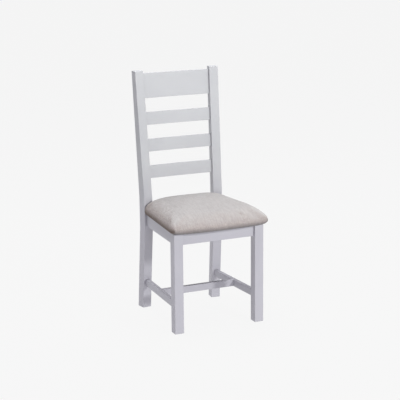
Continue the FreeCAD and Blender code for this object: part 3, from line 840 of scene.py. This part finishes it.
def creaseDepth(place):
    depth = 0.0
    for crease in creases.values():
        start = Vector(crease["from"])
        along = Vector(crease["to"]) - start
        share = max(0.0, min(1.0, (place - start).dot(along) / along.length_squared))
        gap = (place - start - along * share).length
        if gap < crease["width"] * 3:
            depth += crease["depth"] * math.exp(-(gap / crease["width"]) ** 2)
    return depth


def chanceAt(place):
    # the same number from 0 to 1 each time for one place
    return 0.5 + 0.5 * noise.cell(Vector(place))


def markDepth(along, height, seed):
    # soft grooves at uneven places along an edge
    slot = math.floor(along / pullMarks["pitch"])
    depth = 0.0
    for index in (slot - 1, slot, slot + 1):
        chance = chanceAt((index * 1.7, seed, 0.3))
        other = chanceAt((seed, index * 2.3, 7.1))
        centre = (index + 0.5 + pullMarks["stray"] * (chance - 0.5)) * pullMarks["pitch"]
        centre += (other - 0.5) * height * pullMarks["lean"]
        width = pullMarks["width"] * (0.7 + 0.6 * other) + height * pullMarks["spread"]
        fade = math.exp(-height / (pullMarks["height"] * (0.6 + 0.9 * chance)))
        depth += (0.35 + 0.65 * other) * fade * math.exp(-((along - centre) / width) ** 2)
    return depth * pullMarks["depth"]


def edgeMarks(point, normal, height):
    # the pull marks of the edge that the surface faces
    flat = Vector((normal.x, normal.y))
    upright = flat.length
    if upright <= 0.05 or height <= 0.0005:
        return 0.0
    flat.normalize()
    front = max(0.0, -flat.y) ** 4
    back = max(0.0, flat.y) ** 4
    side = flat.x ** 4
    seedSide = pullMarks["seedRight"] if point.x > 0 else pullMarks["seedLeft"]
    marks = front * markDepth(point.x, height, pullMarks["seedFront"])
    marks += back * markDepth(point.x, height, pullMarks["seedBack"])
    marks += side * markDepth(point.y, height, seedSide)
    return marks / (front + back + side) * min(1.0, upright * 2)


def padCorners():
    corners = []
    for side in (-1, 1):
        inFront, inBack = cornerTucks["inFront"], cornerTucks["inBack"]
        corners.append(Vector((side * (coverHigh.x - inFront), coverLow.y + seatPad["frontBow"] + inFront)))
        corners.append(Vector((side * (coverHigh.x - seatPad["sideTaper"] - inBack), coverHigh.y - inBack)))
    return corners


def tuckDepth(point, height, corner):
    # three small folds that fan out from a corner
    away = Vector((point.x, point.y)) - corner
    if away.length >= cornerTucks["within"]:
        return 0.0
    outwards = Vector((math.copysign(1, corner.x), -1 if corner.y < 0 else 1)).normalized()
    across = away.x * outwards.y - away.y * outwards.x
    width = cornerTucks["width"] * (1 + height * cornerTucks["widen"])
    fade = cornerTucks["depth"] * math.exp(-height / cornerTucks["height"])
    spots = [offset * (1 + height * cornerTucks["fanOut"]) for offset in cornerTucks["offsets"]]
    return sum(fade * math.exp(-((across - spot) / width) ** 2) for spot in spots)


def mark(piece):
    # pull marks from the staples, creases, tucks at the corners and a slow waver over it all
    corners = padCorners()
    normals = [vertex.normal.copy() for vertex in piece.data.vertices]
    for vertex, normal in zip(piece.data.vertices, normals):
        point = vertex.co
        height = max(0.0, point.z - coverLow.z)
        slow = sum(share * noise.noise(point * scale) for scale, share in waver["scales"].items())
        depth = -waver["depth"] * slow * min(1.0, height / waver["fullFrom"])
        depth += edgeMarks(point, normal, height)
        if normal.z > 0.1:
            depth += creaseDepth(Vector((point.x, point.y)))
        for corner in corners:
            depth += tuckDepth(point, height, corner)
        vertex.co = point - normal * depth


def flattenUnder(piece):
    # the underside rests on the rails
    for vertex in piece.data.vertices:
        if vertex.co.z < coverLow.z + 0.0006:
            vertex.co.z = coverLow.z + 0.00005


drape = {                       # cloth used up by the fall of the sides
    "share": 0.62,
    "power": 1.6,
}


def layCoordinates(piece):
    # how far each point lies along the cloth, across and along, from the middle of the pad
    layer = piece.data.uv_layers.new(name="cloth")
    middle = (coverLow.y + coverHigh.y) / 2
    rise = coverHigh.z - coverLow.z
    places = []
    for vertex in piece.data.vertices:
        drop = min(1.0, max(0.0, (coverHigh.z - vertex.co.z) / rise))
        extra = rise * drape["share"] * drop ** drape["power"]
        flat = Vector((vertex.normal.x, vertex.normal.y))
        sideways = flat.x ** 2 / max(1e-6, flat.length_squared)
        across = vertex.co.x + math.copysign(extra * sideways, vertex.co.x)
        along = vertex.co.y - middle
        along += math.copysign(extra * (1 - sideways), along)
        places.append((across, along))
    for loop in piece.data.loops:
        layer.data[loop.index].uv = places[loop.vertex_index]


def makeCushion():
    cushion = ringMesh("seatCushion", padRings())
    remesh(cushion, seatPad["voxel"])
    inflate(cushion)
    subdivide(cushion)
    mark(cushion)
    flattenUnder(cushion)
    layCoordinates(cushion)
    cushion.data.materials.clear()
    cushion.data.materials.append(linen())
    for face in cushion.data.polygons:
        face.use_smooth = True
    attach(cushion, "root")
    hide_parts("seat_cover", "seat_foam")
    print("cushion made:", len(cushion.data.polygons), "faces")


makeCushion()


# Studio: a pale floor and soft lights

studio = {
    "floorHalf": 600.0,
    "floorColour": (0.86, 0.86, 0.86),
    "glow": (0.924, 0.924, 0.924),      # the floor's own brightness
    "glowShare": 0.98,
    "horizon": (0.460, 0.437, 0.483),   # the sky is bright up to this height and dark overhead
    "horizonFrom": 0.35,
    "horizonTo": 0.65,
    "zenith": (0.0, 0.0, 0.0),
    "beyondFloor": (0.910, 0.910, 0.910),
    "aim": (0, 0, 0.5),                 # where the lamps point
}
studioLights = {
    "key": {"from": (2.05, -4.6, 2.4), "size": 0.5, "power": 127.0, "colour": (0.985, 1.0, 0.965)},
    "front": {"from": (-0.5, -4.8, 1.3), "size": 1.2, "power": 33.0, "colour": (1.0, 0.97, 1.0)},
    "left": {"from": (-1.8, -0.5, 0.25), "size": 0.6, "power": 0.7, "colour": (1.0, 1.0, 1.0)},
    "overhead": {"from": (0.1, 0.5, 4.2), "size": 4.2, "power": 248.0, "colour": (0.99, 1.0, 1.0)},
}


def makeFloor():
    half = studio["floorHalf"]
    data = bpy.data.meshes.new("studioFloor")
    corners = [(-half, -half, 0), (half, -half, 0), (half, half, 0), (-half, half, 0)]
    data.from_pydata(corners, [], [(0, 1, 2, 3)])
    floor = bpy.data.objects.new("studioFloor", data)
    bpy.context.scene.collection.objects.link(floor)
    material = bpy.data.materials.new("studioFloor")
    material.use_nodes = True
    material.node_tree.nodes.clear()
    tree = Wire(material.node_tree)
    glow = tree.add("Emission", {}, {"Color": (*studio["glow"], 1), "Strength": 1.0})
    matt = tree.add("BsdfDiffuse", {}, {"Color": (*studio["floorColour"], 1)})
    mixed = tree.add("MixShader", {}, {0: studio["glowShare"], 1: matt, 2: glow})
    tree.add("OutputMaterial", {}, {"Surface": mixed})
    data.materials.append(material)


def makeLights():
    world = bpy.data.worlds.new("studioSky")
    world.use_nodes = True
    tree = Wire(world.node_tree)
    up = tree.add("TexCoord", {}, {}, "Generated").part("Z")
    colour = up.within(studio["horizonFrom"], studio["horizonTo"]).blend(studio["horizon"], studio["zenith"])
    colour = up.within(-0.0005, -0.001).blend(colour, studio["beyondFloor"])
    sky = world.node_tree.nodes["Background"]
    world.node_tree.links.new(colour.socket, sky.inputs["Color"])
    bpy.context.scene.world = world
    for name, setting in studioLights.items():
        lamp = bpy.data.lights.new(name, "AREA")
        lamp.shape = "SQUARE"
        lamp.size = setting["size"]
        lamp.energy = setting["power"]
        lamp.color = setting["colour"]
        light = bpy.data.objects.new(name, lamp)
        bpy.context.scene.collection.objects.link(light)
        place = Vector(setting["from"])
        towards = Vector(studio["aim"]) - place
        light.location = place
        light.rotation_euler = towards.to_track_quat("-Z", "Y").to_euler()


makeFloor()
makeLights()
bpy.context.scene.view_settings.view_transform = "Standard"
print("studio lit")
